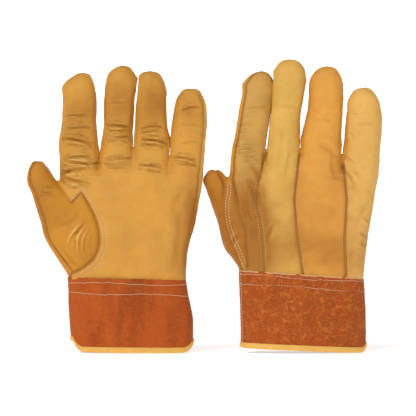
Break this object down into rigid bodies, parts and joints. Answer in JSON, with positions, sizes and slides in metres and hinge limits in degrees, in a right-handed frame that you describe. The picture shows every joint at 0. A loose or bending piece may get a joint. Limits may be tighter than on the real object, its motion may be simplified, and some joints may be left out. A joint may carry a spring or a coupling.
{
  "type": "pair of leather protector gloves",
  "caption": "Yellow grain leather protector gloves with rust split-leather safety cuffs, worn over rubber insulating gloves; fingers and thumbs flex.",
  "frame": {"origin": "middle of the pair's footprint, on the plane that the hems stand on", "axes": "+X across both hands towards the little finger side, -Y towards the viewer (the left glove's palm), +Z along the fingers"},
  "size_m": [0.3198, 0.0484, 0.2665],
  "materials": {
    "grain_leather": "golden yellow smooth grain leather, semi-matt, with fine pores and creases",
    "thumb_leather": "golden yellow smooth grain leather, semi-matt",
    "index_leather": "golden yellow grain leather, a little browner than the rest",
    "middle_leather": "golden yellow grain leather, a little greener than the rest",
    "ring_leather": "golden yellow grain leather, a little more orange than the rest",
    "little_leather": "golden yellow grain leather, a little paler than the rest",
    "sidewall_leather": "golden yellow grain leather, matt",
    "welt_leather": "golden yellow grain leather, with a pale cut edge",
    "cuff_leather": "rust split leather, brushed and matt, unevenly dyed",
    "binding_leather": "golden yellow grain leather binding",
    "yellow_thread": "twisted yellow sewing thread",
    "pale_thread": "twisted cream sewing thread"
  },
  "bodies": {
    "left_hand": {"left_palm": "grain_leather", "left_thumb_root": "thumb_leather", "left_index_back_strip": "index_leather", "left_middle_back_strip": "middle_leather", "left_ring_back_strip": "ring_leather", "left_little_back_strip": "little_leather", "left_back_seam_welts": "welt_leather", "left_back_seam_threads": "yellow_thread", "left_thumb_seam_threads": "pale_thread", "left_cuff_palm_side": "cuff_leather", "left_cuff_back": "cuff_leather", "left_cuff_binding": "binding_leather", "left_cuff_threads": "pale_thread"},
    "left_index_finger": {"left_index_palm_side": "grain_leather", "left_index_back": "index_leather", "left_index_sidewalls": "sidewall_leather"},
    "left_middle_finger": {"left_middle_palm_side": "grain_leather", "left_middle_back": "middle_leather", "left_middle_sidewalls": "sidewall_leather"},
    "left_ring_finger": {"left_ring_palm_side": "grain_leather", "left_ring_back": "ring_leather", "left_ring_sidewalls": "sidewall_leather"},
    "left_little_finger": {"left_little_palm_side": "grain_leather", "left_little_back": "little_leather", "left_little_sidewalls": "sidewall_leather"},
    "left_thumb": {"left_thumb_palm_side": "thumb_leather", "left_thumb_back": "thumb_leather"},
    "right_hand": {"right_palm": "grain_leather", "right_thumb_root": "thumb_leather", "right_index_back_strip": "index_leather", "right_middle_back_strip": "middle_leather", "right_ring_back_strip": "ring_leather", "right_little_back_strip": "little_leather", "right_back_seam_welts": "welt_leather", "right_back_seam_threads": "yellow_thread", "right_thumb_seam_threads": "pale_thread", "right_cuff_palm_side": "cuff_leather", "right_cuff_back": "cuff_leather", "right_cuff_binding": "binding_leather", "right_cuff_threads": "pale_thread"},
    "right_index_finger": {"right_index_palm_side": "grain_leather", "right_index_back": "index_leather", "right_index_sidewalls": "sidewall_leather"},
    "right_middle_finger": {"right_middle_palm_side": "grain_leather", "right_middle_back": "middle_leather", "right_middle_sidewalls": "sidewall_leather"},
    "right_ring_finger": {"right_ring_palm_side": "grain_leather", "right_ring_back": "ring_leather", "right_ring_sidewalls": "sidewall_leather"},
    "right_little_finger": {"right_little_palm_side": "grain_leather", "right_little_back": "little_leather", "right_little_sidewalls": "sidewall_leather"},
    "right_thumb": {"right_thumb_palm_side": "thumb_leather", "right_thumb_back": "thumb_leather"}
  },
  "joints": [
    {"name": "left_index_flex", "type": "hinge", "parent": "left_hand", "child": "left_index_finger", "pos_m": [-0.11399, -0.013, 0.17784], "axis": [0.9998, 0, -0.019], "range_deg": [0, 70], "stiffness_Nm_per_rad": 0.03},
    {"name": "left_middle_flex", "type": "hinge", "parent": "left_hand", "child": "left_middle_finger", "pos_m": [-0.0805, -0.013, 0.18723], "axis": [0.9989, 0, -0.0472], "range_deg": [0, 70], "stiffness_Nm_per_rad": 0.03},
    {"name": "left_ring_flex", "type": "hinge", "parent": "left_hand", "child": "left_ring_finger", "pos_m": [-0.04909, -0.013, 0.18665], "axis": [1, 0, 0.0093], "range_deg": [0, 70], "stiffness_Nm_per_rad": 0.03},
    {"name": "left_little_flex", "type": "hinge", "parent": "left_hand", "child": "left_little_finger", "pos_m": [-0.01679, -0.013, 0.17845], "axis": [0.9986, 0, -0.0532], "range_deg": [0, 70], "stiffness_Nm_per_rad": 0.03},
    {"name": "left_thumb_flex", "type": "hinge", "parent": "left_hand", "child": "left_thumb", "pos_m": [-0.12924, -0.018, 0.1168], "axis": [-0.092, 0, 0.9958], "range_deg": [0, 50], "stiffness_Nm_per_rad": 0.03},
    {"name": "right_glove_apart", "type": "slide", "parent": "left_hand", "child": "right_hand", "axis": [1, 0, 0], "range_m": [0, 0.2]},
    {"name": "right_index_flex", "type": "hinge", "parent": "right_hand", "child": "right_index_finger", "pos_m": [0.04135, 0.013, 0.1865], "axis": [-0.992, 0, 0.1263], "range_deg": [0, 70], "stiffness_Nm_per_rad": 0.03},
    {"name": "right_middle_flex", "type": "hinge", "parent": "right_hand", "child": "right_middle_finger", "pos_m": [0.07188, 0.013, 0.18712], "axis": [-0.995, 0, 0.1001], "range_deg": [0, 70], "stiffness_Nm_per_rad": 0.03},
    {"name": "right_ring_flex", "type": "hinge", "parent": "right_hand", "child": "right_ring_finger", "pos_m": [0.10626, 0.013, 0.1841], "axis": [-0.9971, 0, 0.0762], "range_deg": [0, 70], "stiffness_Nm_per_rad": 0.03},
    {"name": "right_little_flex", "type": "hinge", "parent": "right_hand", "child": "right_little_finger", "pos_m": [0.14295, 0.013, 0.17988], "axis": [-0.9994, 0, 0.0346], "range_deg": [0, 70], "stiffness_Nm_per_rad": 0.03},
    {"name": "right_thumb_flex", "type": "hinge", "parent": "right_hand", "child": "right_thumb", "pos_m": [0.02696, 0.018, 0.11775], "axis": [0.1184, 0, -0.993], "range_deg": [0, 50], "stiffness_Nm_per_rad": 0.03}
  ]
}
